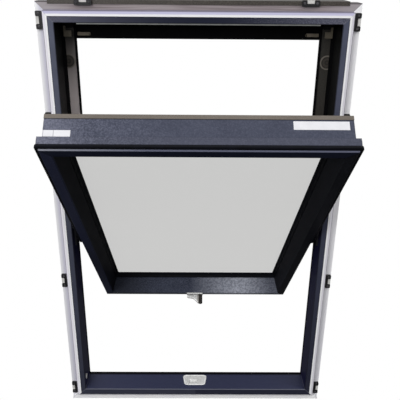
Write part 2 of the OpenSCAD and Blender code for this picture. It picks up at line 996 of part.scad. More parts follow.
latch_screw_x = latch_x - 20;

module latch_plate() {
    color("silver") sash_placed() difference() {
        at_latch(latch_x)
            linear_extrude(height = latch_plate_size[1])
                rounded_rect(latch_w, latch_plate_size[0], 4);
        translate([0, over, 0])
            at_latch(spindle_x)
                cylinder(r = spindle_r + pin_fit, h = latch_plate_size[1] + 2 * over);
        translate([0, over, 0])
            at_latch(latch_screw_x) cylinder(r = 3 + touch, h = latch_plate_size[1] + 2 * over);
    }
}

module latch_screws() {
    color("silver") sash_placed()
        at_latch(latch_screw_x) cylinder(r = 3, h = latch_plate_size[1] - 0.4);
}

// The handle: a round hub on a spindle, and an arm that slopes from the hub's end
module latch_handle() {
    near = latch_plate_size[1] + touch;
    end = near + hub_l;
    color("silver") sash_placed() at_latch(spindle_x) {
        translate([0, 0, near]) cylinder(r = hub_r, h = hub_l);
        translate([0, 0, -2]) cylinder(r = spindle_r, h = near + 3);
        rotate([90, 0, 0]) linear_extrude(height = 9, center = true) polygon([
            [0, near + 4], [-handle_l * 0.5, near + 4], [-handle_l * 0.62, near + 2],
            [-handle_l + 2, near + 2], [-handle_l, near + 5], [-handle_l + 1, near + 12],
            [-handle_l * 0.65, near + 14], [-handle_l * 0.4, near + 19], [-hub_r, end - 1], [0, end - 1]
        ]);
    }
}

module latch_bolt() {
    color("gray") sash_placed()
        translate([bolt_x - bolt_size[0] / 2, bolt_depth - bolt_size[1] / 2, -bolt_out])
            cube([bolt_size[0], bolt_size[1], bolt_size[2]]);
}

frame_head();
frame_sill();
frame_left_jamb();
frame_right_jamb();
frame_steel();
jamb_cover_left();
jamb_cover_right();
head_cover();
head_stop();
head_strip();
head_catches();
corner_blocks();
corner_angles();
jamb_seals();
cover_rubbers();
cover_bosses();
sill_cover();
lower_cover_left();
lower_cover_right();
lower_gaskets();
clips_left();
clips_right();
clips_head();
clip_inserts();
striker_plate();
striker_screws();
jamb_plug();
frame_hinge_left();
frame_hinge_right();
frame_hinge_screws();
pivot_pins();
sash_top_rail();
sash_bottom_rail();
sash_left_stile();
sash_right_stile();
sash_steel();
sash_gasket();
sash_lower_seal();
inner_pane();
outer_pane();
spacer_bar();
edge_sealant();
inner_glazing_gasket();
outer_glazing_gasket();
setting_blocks();
sash_cover_top();
sash_cover_bottom();
sash_cover_left();
sash_cover_right();
cover_clips();
sash_hinge_left();
sash_hinge_right();
sash_hinge_screws();
friction_washers();
sash_labels();
latch_plate();
latch_screws();
latch_handle();
latch_bolt();
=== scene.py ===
"""A centre-pivot roof window, tilted open, seen from the room side."""
import json
import math
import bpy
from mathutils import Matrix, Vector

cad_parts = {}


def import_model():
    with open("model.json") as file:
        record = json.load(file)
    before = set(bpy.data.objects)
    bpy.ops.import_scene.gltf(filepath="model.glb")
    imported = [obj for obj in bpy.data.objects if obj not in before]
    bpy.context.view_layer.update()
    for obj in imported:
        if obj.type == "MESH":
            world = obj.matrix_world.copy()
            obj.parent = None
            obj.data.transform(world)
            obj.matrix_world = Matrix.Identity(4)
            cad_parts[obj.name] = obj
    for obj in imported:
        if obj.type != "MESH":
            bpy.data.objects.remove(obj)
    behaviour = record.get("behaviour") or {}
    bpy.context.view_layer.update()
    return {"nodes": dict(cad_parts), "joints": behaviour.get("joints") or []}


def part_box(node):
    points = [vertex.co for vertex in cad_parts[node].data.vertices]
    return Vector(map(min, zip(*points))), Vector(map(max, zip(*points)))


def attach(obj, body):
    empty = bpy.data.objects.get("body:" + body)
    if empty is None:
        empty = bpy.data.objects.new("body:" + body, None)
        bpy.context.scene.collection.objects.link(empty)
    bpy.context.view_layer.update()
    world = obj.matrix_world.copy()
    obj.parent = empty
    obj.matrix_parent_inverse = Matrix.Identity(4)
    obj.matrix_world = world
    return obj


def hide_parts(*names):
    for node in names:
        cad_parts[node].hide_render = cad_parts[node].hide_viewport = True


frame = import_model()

from types import SimpleNamespace

import bmesh
import bpy
from mathutils import Matrix, Vector

nodes = frame["nodes"]

# ---- sizes, from the CAD nodes and the sash's joint ----

pivot = next(j for j in frame["joints"] if j["name"] == "sash_pivot")
PIVOT = Vector(pivot["pos_m"])
OPEN = math.radians(-pivot["range_deg"][0])

jamb_lo, jamb_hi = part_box("frame_left_jamb")
HALF_W = -jamb_lo.x
HEIGHT = jamb_hi.z
FRONT = jamb_lo.y
INSET = jamb_hi.x - jamb_lo.x
SILL_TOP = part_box("frame_sill")[1].z

SASH_GAP = 0.0115  # from the sash's gasket to the frame's head and sill
SASH_HALF_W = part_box("sash_gasket")[1].x
SASH_HALF_H = HEIGHT / 2 - INSET - SASH_GAP
PIVOT_T = 0.062  # how far the pivot lies behind the gasket's face
SPINDLE = (0.018, -0.004, -0.511)  # the latch's spindle, along the sash's own axes
SHUT_BOLT_DEPTH = 0.039  # where the shot bolt meets the striker, behind the frame's front

# The frame's bands, by how far in from its outer edge they lie
FLANGE_END = 0.0193
GROOVE = 0.0198
RIDGE = 0.0262
FOIL_START = 0.0315
SILL_FOIL_START = 0.0265

LIP_INSET = 0.0037  # the face of the lip on the sash's outer edge, in from the gasket's tip
LIP_END = 0.0262  # the depth at which the lip ends
LIP_LINE = 0.0275  # a painted shadow line just past the lip, where it steps back to the edge
COVER_LINE = 0.0735  # a dark line where the aluminium cover begins
BEAD_H = 0.0094  # the painted highlight on the rounded bead along the top of the sash's flat face
FACE_T = 0.0005  # depths under this are on the sash's flat face
SEAM = 0.0005  # half the width of a mitre's weld line
BOSS_INSET = 0.057  # the bosses' middles, in from the frame's outer edge
COVER_DEPTH = 0.0925  # just past the side covers' room-side faces

CLIP_Z = (HEIGHT - 0.0425, PIVOT.z + 0.304, PIVOT.z - 0.166, 0.037)
HEAD_CLIP_X = (-0.275, 0.266)
RIVET_HALF_PITCH = 0.015  # from a clip's middle to each of its two rivets

# From the sash's own axes (x, depth, height above the pivot) to the row frame
SASH = Matrix.Translation(PIVOT) @ Matrix.Rotation(OPEN, 4, "X") @ Matrix.Translation((0, -PIVOT_T, 0))
FACING = Matrix.Rotation(math.radians(90), 4, "X")  # turns a lathe's axis towards the room


# ---- shader nodes ----


def rgb(r, g, b):
    """A display colour, 0 to 255, as a linear one."""
    def linear(v):
        v /= 255
        return v / 12.92 if v <= 0.04045 else ((v + 0.055) / 1.055) ** 2.4
    return (linear(r), linear(g), linear(b), 1.0)


class Graph:
    """A short way to write shader nodes. A world's tree has no Principled shader."""

    def __init__(self, name, tree=None):
        if tree is None:
            self.mat = bpy.data.materials.new(name)
            self.mat.use_nodes = True
            tree = self.mat.node_tree
        self.nt = tree
        self.shader = tree.nodes.get("Principled BSDF")

    def add(self, kind, **values):
        node = self.nt.nodes.new(kind)
        for key, value in values.items():
            setattr(node, key, value)
        return node

    def link(self, a, b):
        self.nt.links.new(a, b)

    def feed(self, socket, value):
        if isinstance(value, bpy.types.NodeSocket):
            self.link(value, socket)
        else:
            socket.default_value = value

    def math(self, op, a, b=0.0, c=0.0):
        node = self.add("ShaderNodeMath", operation=op)
        for socket, value in zip(node.inputs, (a, b, c)):
            self.feed(socket, value)
        return node.outputs[0]

    def times(self, a, b):
        return self.math("MULTIPLY", a, b)

    def minus(self, a, b):
        return self.math("SUBTRACT", a, b)

    def size(self, value):
        return self.math("ABSOLUTE", value)

    def below(self, value, limit):
        return self.math("LESS_THAN", value, limit)

    def above(self, value, limit):
        return self.math("GREATER_THAN", value, limit)

    def mix(self, factor, a, b):
        node = self.add("ShaderNodeMix", data_type="RGBA")
        self.feed(node.inputs[0], factor)
        self.feed(node.inputs[6], a)
        self.feed(node.inputs[7], b)
        return node.outputs[2]

    def ramp(self, value, low, high, out_low=0.0, out_high=1.0):
        node = self.add("ShaderNodeMapRange", clamp=True)
        for socket, v in zip(node.inputs, (value, low, high, out_low, out_high)):
            self.feed(socket, v)
        return node.outputs[0]

    def spread(self, noise, low=0.0, high=1.0):
        """A noise's usual range, stretched from low to high."""
        return self.ramp(noise, 0.3, 0.7, low, high)

    def near(self, value, place, width):
        """1 where the value is within width of a place, falling to 0 at twice that."""
        return self.ramp(self.size(self.minus(value, place)), width, 2 * width, 1.0, 0.0)

    def tint(self, color, mask, share, tone):
        """The colour, with a share of a tone where the mask is 1."""
        return self.mix(self.times(mask, share), color, tone)

    def sash_coords(self, vector):
        """Turns row-frame coordinates into the sash's own."""
        move = self.add("ShaderNodeVectorMath", operation="SUBTRACT")
        self.link(vector, move.inputs[0])
        move.inputs[1].default_value = PIVOT
        back = self.add("ShaderNodeVectorMath", operation="ADD")
        self.link(self.sash_turn(move.outputs[0]), back.inputs[0])
        back.inputs[1].default_value = (0, PIVOT_T, 0)
        return back.outputs[0]

    def sash_turn(self, vector):
        turn = self.add("ShaderNodeVectorRotate", rotation_type="X_AXIS")
        self.link(vector, turn.inputs["Vector"])
        turn.inputs["Angle"].default_value = -OPEN
        return turn.outputs[0]

    def coords(self, sash=False, scale=(1, 1, 1)):
        """Object coordinates in the row frame, or along the sash's own axes."""
        out = self.add("ShaderNodeTexCoord").outputs["Object"]
        if sash:
            out = self.sash_coords(out)
        if scale != (1, 1, 1):
            mapping = self.add("ShaderNodeMapping")
            mapping.inputs["Scale"].default_value = scale
            self.link(out, mapping.inputs["Vector"])
            out = mapping.outputs[0]
        return out

    def noise(self, vector, scale, detail=2.0, roughness=0.5):
        node = self.add("ShaderNodeTexNoise")
        self.link(vector, node.inputs["Vector"])
        node.inputs["Scale"].default_value = scale
        node.inputs["Detail"].default_value = detail
        node.inputs["Roughness"].default_value = roughness
        return node.outputs["Fac"]

    def split(self, vector):
        node = self.add("ShaderNodeSeparateXYZ")
        self.link(vector, node.inputs[0])
        return node.outputs

    def bump(self, height, distance, strength=1.0):
        node = self.add("ShaderNodeBump")
        node.inputs["Strength"].default_value = strength
        node.inputs["Distance"].default_value = distance
        self.link(height, node.inputs["Height"])
        return node.outputs[0]

    def glow(self, seen, unseen):
        """An even white light, with one strength for the camera and one for all other rays."""
        camera_ray = self.add("ShaderNodeLightPath").outputs["Is Camera Ray"]
        node = self.add("ShaderNodeEmission")
        node.inputs["Color"].default_value = (1, 1, 1, 1)
        self.link(self.ramp(camera_ray, 0, 1, unseen, seen), node.inputs["Strength"])
        return node

    def surface(self, shader):
        self.link(shader, self.nt.nodes["Material Output"].inputs["Surface"])

    def finish(self, color, roughness, metallic=0.0, normal=None, **more):
        s = self.shader.inputs
        self.feed(s["Base Color"], color)
        self.feed(s["Roughness"], roughness)
        self.feed(s["Metallic"], metallic)
        if normal is not None:
            self.link(normal, s["Normal"])
        for key, value in more.items():
            self.feed(s[key.replace("_", " ")], value)
        return self.mat


# ---- the frame's profiles ----

GRAIN_BUMP = (0.0003, 0.6)  # the foil's grain: height and strength


def frame_place(g, part):
    """Where a point lies on the frame: coordinates, depth, and how far in from the edges."""
    p = g.coords()
    x, y, z = g.split(p)
    side = g.minus(HALF_W, g.size(x))
    end = g.minus(HEIGHT / 2, g.size(g.minus(z, HEIGHT / 2)))
    return SimpleNamespace(p=p, x=x, z=z, depth=g.minus(y, FRONT), side=side, end=end,
                           inset=side if part == "jamb" else end, right=g.above(x, 0.0))


def head_foil(g, at, grain, mottle):
    """The head's foil: dark in the middle, lighter towards its ends, with light and dark flecks there."""
    reach = g.math("DIVIDE", at.x, 0.325)
    foil = g.mix(g.times(reach, reach), rgb(21, 25, 43), rgb(82, 83, 98))
    foil = g.mix(g.ramp(grain, 0.35, 0.7, 0.0, 0.06), foil, rgb(96, 100, 122))
    foil = g.mix(g.ramp(mottle, 0.35, 0.65, 0.0, 0.06), foil, rgb(36, 38, 52))
    fleck_zone = g.math("MAXIMUM", g.ramp(at.x, 0.08, 0.27), g.ramp(at.x, -0.26, -0.34, 0.0, 0.4))
    fleck = g.noise(at.p, scale=420, detail=2, roughness=0.6)
    foil = g.tint(foil, fleck_zone, g.ramp(fleck, 0.5, 0.66, 0.0, 0.5), rgb(150, 152, 168))
    return g.tint(foil, fleck_zone, g.ramp(fleck, 0.34, 0.5, 0.5, 0.0), rgb(30, 32, 48))


def side_foil(g, at, grain, mottle):
    """The jambs' and the sill's foil: a pressed grain, with painted light: lighter towards the head, and
    darker on the right, where less light falls.
    """
    low = g.mix(at.right, rgb(48, 50, 62), rgb(27, 28, 42))
    high = g.mix(at.right, rgb(94, 98, 114), rgb(84, 88, 106))
    foil = g.mix(g.ramp(at.z, 0.1, 1.15), low, high)
    foil = g.mix(g.ramp(grain, 0.35, 0.7, 0.0, 0.25), foil, rgb(96, 100, 122))
    return g.mix(g.ramp(mottle, 0.35, 0.65, 0.0, 0.25), foil, rgb(36, 38, 52))


def foil_edges(g, at, foil, foil_start, part):
    """The foil's two edges, pressed over the corners; the sill's light inner line is a painted highlight on
    its rounded corner.
    """
    outer = g.near(at.inset, foil_start, 0.0009)
    inner = g.near(at.inset, INSET - 0.0008, 0.0006)
    foil = g.tint(foil, outer, 0.75, rgb(26, 27, 36))
    # painted highlight on the sill's rounded inner corner
    if part == "sill":
        return g.tint(foil, inner, 0.7, rgb(118, 120, 134))
    return g.tint(foil, inner, 0.6, rgb(20, 21, 28))


def opening_walls(g, at, foil, grain, part):
    """The walls of the opening: foiled below the hinges, and painted near-black above them for the shade
    they lie in.
    """
    if part == "sill":
        low_wall = g.mix(g.spread(grain), rgb(52, 55, 80), rgb(62, 66, 92))
        low_wall = g.mix(g.ramp(at.depth, 0.068, 0.075), low_wall, rgb(16, 16, 26))
    else:
        low_wall = g.mix(g.spread(grain), rgb(22, 22, 50), rgb(30, 30, 62))
    # painted shade: the walls above the hinges turn near-black
    walls = g.mix(g.ramp(at.z, 0.62, 0.66), low_wall, rgb(4, 5, 6))
    return g.mix(g.ramp(at.depth, 0.0015, 0.003), foil, walls)


def head_flange(g, at):
    """The head's flange: greyer, with fine lines along it and a painted shadow line at each end of its rim.
    """
    lines = g.noise(g.coords(scale=(0.02, 1, 1)), scale=420, detail=1)
    away = g.size(at.x)
    flange = g.mix(g.ramp(lines, 0.35, 0.65), rgb(122, 112, 114), rgb(158, 148, 150))
    flange = g.mix(g.ramp(away, 0.30, 0.39), flange, rgb(166, 160, 164))
    # painted shadow along the rim near each end
    rim = g.times(g.below(at.end, 0.0022), g.above(away, HALF_W - 0.031))
    return g.tint(flange, rim, 0.85, rgb(58, 50, 54))


def jamb_flange(g, at):
    """A jamb's flange: white at its rim; inside it, painted shade turns it lilac-grey on the left, barely on
    the right, and greyer low down.
    """
    inner_tone = g.mix(at.right, rgb(212, 210, 224), rgb(250, 249, 253))
    flange = g.mix(g.ramp(at.inset, 0.002, 0.012), rgb(250, 250, 252), inner_tone)
    return g.mix(g.ramp(at.z, 0.1, 0.6, 0.35, 0.0), flange, rgb(200, 200, 212))


def white_bands(g, at, mottle, part):
    """The white outside the foil: a chamfer greyed with painted shade, deepest on the head, a ridge, a
    groove with a painted shadow line, and the flange.
    """
    head = part == "head"
    white = g.mix(g.spread(mottle), rgb(246, 246, 250), rgb(252, 252, 254))
    # the chamfer's grey is painted shade, turned away from the light
    chamfer = rgb(176, 174, 200) if head else rgb(244, 242, 250)
    white = g.mix(g.below(at.inset, RIDGE), white, chamfer)
    white = g.tint(white, g.near(at.inset, RIDGE, 0.0005), 0.35, rgb(190, 188, 202))
    if head:
        flange = head_flange(g, at)
    elif part == "sill":
        flange = g.mix(g.spread(mottle), rgb(250, 250, 255), rgb(255, 255, 255))
    else:
        flange = jamb_flange(g, at)
    white = g.mix(g.below(at.inset, FLANGE_END), white, flange)
    # the groove's dark line is a painted contact shadow
    shade = rgb(112, 108, 126) if head else rgb(132, 130, 142)
    return g.tint(white, g.near(at.inset, GROOVE, 0.0007), 0.9, shade)


def profile(part):
    """A white profile (jamb, head or sill) whose inner faces carry an anthracite foil."""
    g = Graph("profile_" + part)
    at = frame_place(g, part)
    grain = g.noise(at.p, scale=620, detail=3, roughness=0.6)
    mottle = g.noise(at.p, scale=16)
    foil_start = SILL_FOIL_START if part == "sill" else FOIL_START
    foil = head_foil(g, at, grain, mottle) if part == "head" else side_foil(g, at, grain, mottle)
    foil = foil_edges(g, at, foil, foil_start, part)
    foil = opening_walls(g, at, foil, grain, part)
    inside = g.above(at.inset, foil_start)
    color = g.mix(inside, white_bands(g, at, mottle, part), foil)
    seam = g.near(at.side, at.end, SEAM)
    color = g.tint(color, seam, 0.35, rgb(150, 150, 160))
    height = g.minus(g.times(g.times(grain, inside), 0.5), seam)
    rough = g.mix(inside, (0.32, 0.32, 0.32, 1), (0.46, 0.46, 0.46, 1))
    shine = g.ramp(inside, 0.0, 1.0, 0.4, 0.14)
    return g.finish(color, rough, normal=g.bump(height, *GRAIN_BUMP), Specular_IOR_Level=shine)


# ---- the sash's profiles ----


def foil_with_painted_sheen(g, p, x, color, start, peak, end):
    """Foil with a painted sheen where its grain catches the light, most at the peak, and painted shade over
    its far left.
    """
    patch = g.times(g.ramp(x, start, peak), g.ramp(x, peak + 0.02, end, 1.0, 0.25))
    coarse = g.noise(p, scale=150, detail=2, roughness=0.6)
    color = g.mix(g.ramp(x, -0.26, -0.16, 0.6, 0.0), color, rgb(20, 24, 34))
    return g.tint(color, patch, g.ramp(coarse, 0.38, 0.62, 0.5, 1.0), rgb(188, 192, 206))


def sash_foil(name, low, high, speck, shine, sheen_span=None, flat=None):
    """The sash's anthracite foil. speck is how much its grain shows, sheen_span (from x, peak, to x)
    where a painted sheen catches the light, and flat the left stile's flat face, painted lighter for the
    light on it."""
    g = Graph(name)
    p = g.coords(sash=True)
    x, t, s = g.split(p)
    side = g.minus(SASH_HALF_W, g.size(x))
    end = g.minus(SASH_HALF_H, g.size(s))
    seam = g.near(side, end, SEAM)
    grain = g.noise(p, scale=300, detail=3, roughness=0.6)
    color = g.mix(g.spread(g.noise(p, scale=18)), rgb(*low), rgb(*high))
    if flat:
        color = g.mix(g.times(g.below(t, FACE_T), g.below(x, 0.0)), color, rgb(*flat))
    color = g.mix(g.ramp(grain, 0.42, 0.7, 0.0, speck), color, rgb(150, 152, 172))
    color = g.mix(g.ramp(grain, 0.30, 0.48, speck, 0.0), color, rgb(18, 19, 28))
    if sheen_span:
        color = foil_with_painted_sheen(g, p, x, color, *sheen_span)
    color = g.tint(color, seam, 0.6, rgb(14, 14, 20))
    return g.finish(color, g.spread(grain, 0.42, 0.56), normal=g.bump(g.minus(grain, seam), *GRAIN_BUMP),
                    Specular_IOR_Level=shine)


def top_edge(g, p, x, t, grain, mottle):
    """The top rail's edge: grained, painted lighter at its left end as a highlight where the light falls,
    flecked most there, with a paler lip.
    """
    edge = g.mix(g.spread(mottle), rgb(56, 60, 76), rgb(64, 68, 84))
    edge = g.mix(g.below(t, LIP_END), edge, rgb(64, 67, 82))
    # painted highlight: lighter towards the left end
    edge = g.mix(g.ramp(x, -0.35, -0.22, 0.55, 0.0), edge, rgb(122, 124, 140))
    fleck_zone = g.ramp(x, -0.33, -0.05, 0.75, 0.2)
    coarse = g.noise(p, scale=120, detail=2, roughness=0.6)
    edge = g.tint(edge, fleck_zone, g.ramp(grain, 0.46, 0.68, 0.0, 0.5), rgb(140, 142, 160))
    edge = g.tint(edge, fleck_zone, g.ramp(grain, 0.30, 0.46, 0.55, 0.0), rgb(24, 26, 38))
    edge = g.tint(edge, fleck_zone, g.ramp(coarse, 0.5, 0.66, 0.0, 0.2), rgb(116, 118, 138))
    # a painted shadow line past the lip, and a dark line where the cover begins
    for line, width in ((LIP_LINE, 0.0010), (COVER_LINE, 0.0008)):
        edge = g.tint(edge, g.near(t, line, width), 0.7, rgb(18, 18, 24))
    return edge


def top_flat(g, x, s, on_flat, grain, mottle):
    """The top rail's flat face: smooth, painted dark for the shade it faces into, with a painted highlight
    on the rounded bead along its upper rim, brighter on the left.
    """
    # painted shade: the flat face is darker than the edge because it faces down
    flat = g.mix(g.spread(mottle), rgb(20, 24, 42), rgb(25, 29, 47))
    flat = g.mix(g.ramp(grain, 0.45, 0.7, 0.0, 0.05), flat, rgb(90, 92, 110))
    # painted highlight along the bead
    bead = g.times(g.above(s, SASH_HALF_H - BEAD_H), on_flat)
    bead_highlight_tone = g.mix(g.ramp(x, -0.33, -0.1), rgb(146, 148, 158), rgb(100, 103, 122))
    return g.tint(flat, bead, 0.9, bead_highlight_tone)


def top_rail_foil():
    """The top rail: a grained edge with a lip, and a smoother flat painted dark as shade."""
    g = Graph("sash_top_foil")
    p = g.coords(sash=True)
    x, t, s = g.split(p)
    grain = g.noise(p, scale=330, detail=3, roughness=0.62)
    mottle = g.noise(p, scale=12)
    on_flat = g.below(t, FACE_T)
    color = g.mix(on_flat, top_edge(g, p, x, t, grain, mottle), top_flat(g, x, s, on_flat, grain, mottle))
    side = g.minus(SASH_HALF_W, g.size(x))
    seam = g.near(side, g.minus(SASH_HALF_H, s), SEAM)
    color = g.tint(color, seam, 0.6, rgb(12, 12, 18))
    height = g.times(grain, g.minus(1.0, g.times(on_flat, 0.8)))
    return g.finish(color, g.spread(grain, 0.42, 0.58), normal=g.bump(height, *GRAIN_BUMP),
                    Specular_IOR_Level=g.ramp(on_flat, 0.0, 1.0, 0.2, 0.06))


# ---- coated sheet ----

PEEL_TONE = rgb(150, 142, 132)
PEEL_BUMP = (0.00012, 0.6)  # height and strength


def peel_of(g, p):
    """The fine orange peel of a powder coat."""
    return g.noise(p, scale=500, detail=3, roughness=0.55)


def powder_coat(name, low, high, roughness=0.42, sash=False):
    g = Graph(name)
    p = g.coords(sash=sash)
    peel = peel_of(g, p)
    color = g.mix(g.spread(g.noise(p, scale=9)), low, high)
    color = g.mix(g.ramp(peel, 0.4, 0.7, 0.0, 0.2), color, PEEL_TONE)
    return g.finish(color, g.spread(peel, roughness - 0.05, roughness + 0.07),
                    normal=g.bump(peel, *PEEL_BUMP))


def side_coat():
    """The upper side covers: brown coat, with room-side faces painted light on the left and dark on the
    right for how the light falls, and darker towards the head with painted shadow.
    """
    g = Graph("side_cover_grey_brown")
    p = g.coords()
    x, y, z = g.split(p)
    peel = peel_of(g, p)
    coat = g.mix(g.spread(g.noise(p, scale=9)), rgb(88, 81, 74), rgb(98, 91, 84))
    # painted light and shade: the left face light, the right face dark, and a painted shadow under the head
    face = g.mix(g.below(x, 0.0), rgb(42, 40, 37), rgb(206, 196, 196))
    face = g.mix(g.ramp(z, 0.94, 1.09), face, rgb(30, 28, 24))
    color = g.mix(g.below(y, FRONT + COVER_DEPTH), coat, face)
    color = g.mix(g.ramp(peel, 0.4, 0.7, 0.0, 0.12), color, PEEL_TONE)
    return g.finish(color, g.spread(peel, 0.4, 0.52), normal=g.bump(peel, *PEEL_BUMP))


def boss_coat():
    """The round bosses on the side covers: a coated dome with a painted highlight on its pressed rim and
    painted shade in the rings inside it.
    """
    g = Graph("cover_boss")
    p = g.coords()
    x, _, z = g.split(p)
    lo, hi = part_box("cover_bosses")
    dx = g.minus(g.size(x), HALF_W - BOSS_INSET)
    dz = g.minus(z, (lo.z + hi.z) / 2)
    r = g.math("SQRT", g.math("ADD", g.times(dx, dx), g.times(dz, dz)))
    peel = g.noise(p, scale=500, detail=3)
    color = g.mix(g.spread(peel), rgb(58, 53, 48), rgb(72, 66, 60))
    rings = (  # radius, half width and tone: the rim's painted highlight, the painted shade of the step inside it and of the pressed middle
        (0.0168, 0.0011, rgb(128, 122, 114)),
        (0.0125, 0.0008, rgb(24, 22, 20)),
        (0.0045, 0.0012, rgb(30, 28, 26)),
    )
    for radius, width, tone in rings:
        color = g.tint(color, g.near(r, radius, width), 0.8, tone)
    return g.finish(color, 0.4, normal=g.bump(peel, *PEEL_BUMP))


# ---- rubber, plastic, metal and film ----


def rubber(name, base, dusty, roughness, sash=False):
    g = Graph(name)
    p = g.coords(sash=sash)
    grain = g.noise(p, scale=1200, detail=3)
    bloom = g.noise(p, scale=35, detail=3)
    color = g.mix(g.ramp(bloom, 0.4, 0.75, 0.0, 0.6), base, dusty)
    return g.finish(color, g.spread(bloom, roughness - 0.08, roughness + 0.1),
                    normal=g.bump(grain, 0.0001, 0.5), Specular_IOR_Level=0.08)


def moulded(name, base, other, roughness=0.45, grain_scale=1400, sash=False, shine=0.5):
    g = Graph(name)
    p = g.coords(sash=sash)
    grain = g.noise(p, scale=grain_scale)
    color = g.mix(g.spread(g.noise(p, scale=40)), base, other)
    return g.finish(color, g.spread(grain, roughness - 0.06, roughness + 0.08),
                    normal=g.bump(grain, 0.00015, 0.5), Specular_IOR_Level=shine)


def metal(name, base, other, roughness=0.3, brushed=(1, 1, 1), sash=False):
    g = Graph(name)
    lines = g.noise(g.coords(sash=sash, scale=brushed), scale=900, detail=3, roughness=0.6)
    cloud = g.noise(g.coords(sash=sash), scale=60)
    return g.finish(g.mix(g.spread(cloud), base, other), g.spread(lines, roughness - 0.06, roughness + 0.1),
                    metallic=1.0, normal=g.bump(lines, 0.00008, 0.5))


def label_film():
    """Blank white film with hairlines: the left label's border and its divider."""
    g = Graph("label_film")
    p = g.coords(sash=True)
    x = g.split(p)[0]
    cloud = g.noise(p, scale=50)
    color = g.mix(g.spread(cloud), rgb(212, 212, 216), rgb(220, 220, 224))
    for hairline in (-0.3155, -0.2945, -0.2595):
        color = g.tint(color, g.near(x, hairline, 0.0006), 0.5, rgb(120, 120, 128))
    return g.finish(color, 0.35, normal=g.bump(cloud, 0.00005, 0.4))


def lever_satin():
    """The lever's satin silver, with painted shade along its two narrow flanks."""
    g = Graph("latch_satin")
    facing = g.split(g.sash_turn(g.add("ShaderNodeTexCoord").outputs["Normal"]))[1]
    # painted shade on the faces turned sideways, read from the normal
    flank = g.ramp(g.size(facing), 0.55, 0.8)
    p = g.coords(sash=True)
    lines = g.noise(p, scale=900)
    root = g.ramp(g.split(p)[0], 0.004, 0.009)
    color = g.mix(root, rgb(248, 248, 248), rgb(186, 182, 178))
    color = g.tint(color, flank, 0.92, rgb(44, 38, 36))
    return g.finish(color, g.spread(lines, 0.3, 0.42), metallic=0.2, normal=g.bump(lines, 0.00006, 0.5))


def striker_cast():
    """The striker's silver casting: a bright polished rim around a satin tray."""
    g = Graph("striker_cast")
    p = g.coords()
    cloud = g.noise(p, scale=90)
    tray = g.mix(g.spread(cloud), rgb(222, 222, 220), rgb(238, 238, 238))
    rim = g.ramp(g.split(p)[2], SILL_TOP + 0.0010, SILL_TOP + 0.0017)
    return g.finish(g.mix(rim, tray, rgb(255, 255, 255)), g.spread(cloud, 0.25, 0.35),
                    normal=g.bump(cloud, 0.0001, 0.4))


# ---- glass ----

GLASS_IOR = 1.45
GLOW = 0.27  # the inner pane's own light grey
RIM_S = (-0.4805, -0.4755)  # from where to where its brighter lower rim fades, by height above the pivot


def outer_glass():
    """Clear float glass with a very slight waviness."""
    g = Graph("float_glass_outer")
    wave = g.noise(g.coords(sash=True), scale=2.5, detail=1)
    color = g.mix(g.spread(wave), rgb(150, 151, 150), rgb(158, 159, 157))
    mat = g.finish(color, 0.04, IOR=GLASS_IOR, normal=g.bump(wave, 0.0002, 0.3), Alpha=0.10)
    mat.surface_render_method = "BLENDED"
    return mat


def inner_glass():
    """The inner pane, which hides what lies behind it: a translucent grey with a painted glow, an even
    emission that stands in for the bright light from outside.
    """
    g = Graph("float_glass_inner")
    p = g.coords(sash=True)
    wave = g.noise(p, scale=2.5, detail=1)
    tone = g.mix(g.spread(wave), (GLOW, GLOW, GLOW * 0.985, 1), (GLOW * 1.01, GLOW * 1.01, GLOW, 1))
    tone = g.tint(tone, g.ramp(g.split(p)[2], *RIM_S, 1.0, 0.0), 0.5, (1, 1, 1, 1))
    through = g.add("ShaderNodeBsdfTranslucent")
    g.link(tone, through.inputs["Color"])
    # painted light: the pane glows evenly to the camera
    glow = g.glow(seen=0.565, unseen=0.05)
    glow.inputs["Color"].default_value = (1, 1, 0.99, 1)
    both = g.add("ShaderNodeAddShader")
    g.link(through.outputs[0], both.inputs[0])
    g.link(glow.outputs[0], both.inputs[1])
    mat = g.finish((0.5, 0.5, 0.5, 1), 0.05, IOR=GLASS_IOR)
    coated = g.add("ShaderNodeMixShader")
    coated.inputs[0].default_value = 0.05
    g.link(both.outputs[0], coated.inputs[1])
    g.link(g.shader.outputs[0], coated.inputs[2])
    g.surface(coated.outputs[0])
    return mat


# ---- which node gets which material ----

LIGHT = moulded("plastic_light", rgb(205, 204, 202), rgb(220, 219, 216))
BEIGE = moulded("plastic_beige", rgb(104, 96, 82), rgb(122, 112, 98), 0.55)
# one foil in two tones: the stiles painted dark for the shade they lie in, the bottom rail painted lighter
# for the light it catches
STILE_FOIL = sash_foil("sash_stile_foil", (11, 12, 17), (16, 17, 23), speck=0.05, shine=0.05,
                       flat=(36, 40, 62))
BOTTOM_FOIL = sash_foil("sash_bottom_foil", (40, 47, 66), (48, 55, 74), speck=0.2, shine=0.15,
                        sheen_span=(-0.02, 0.15, 0.27))

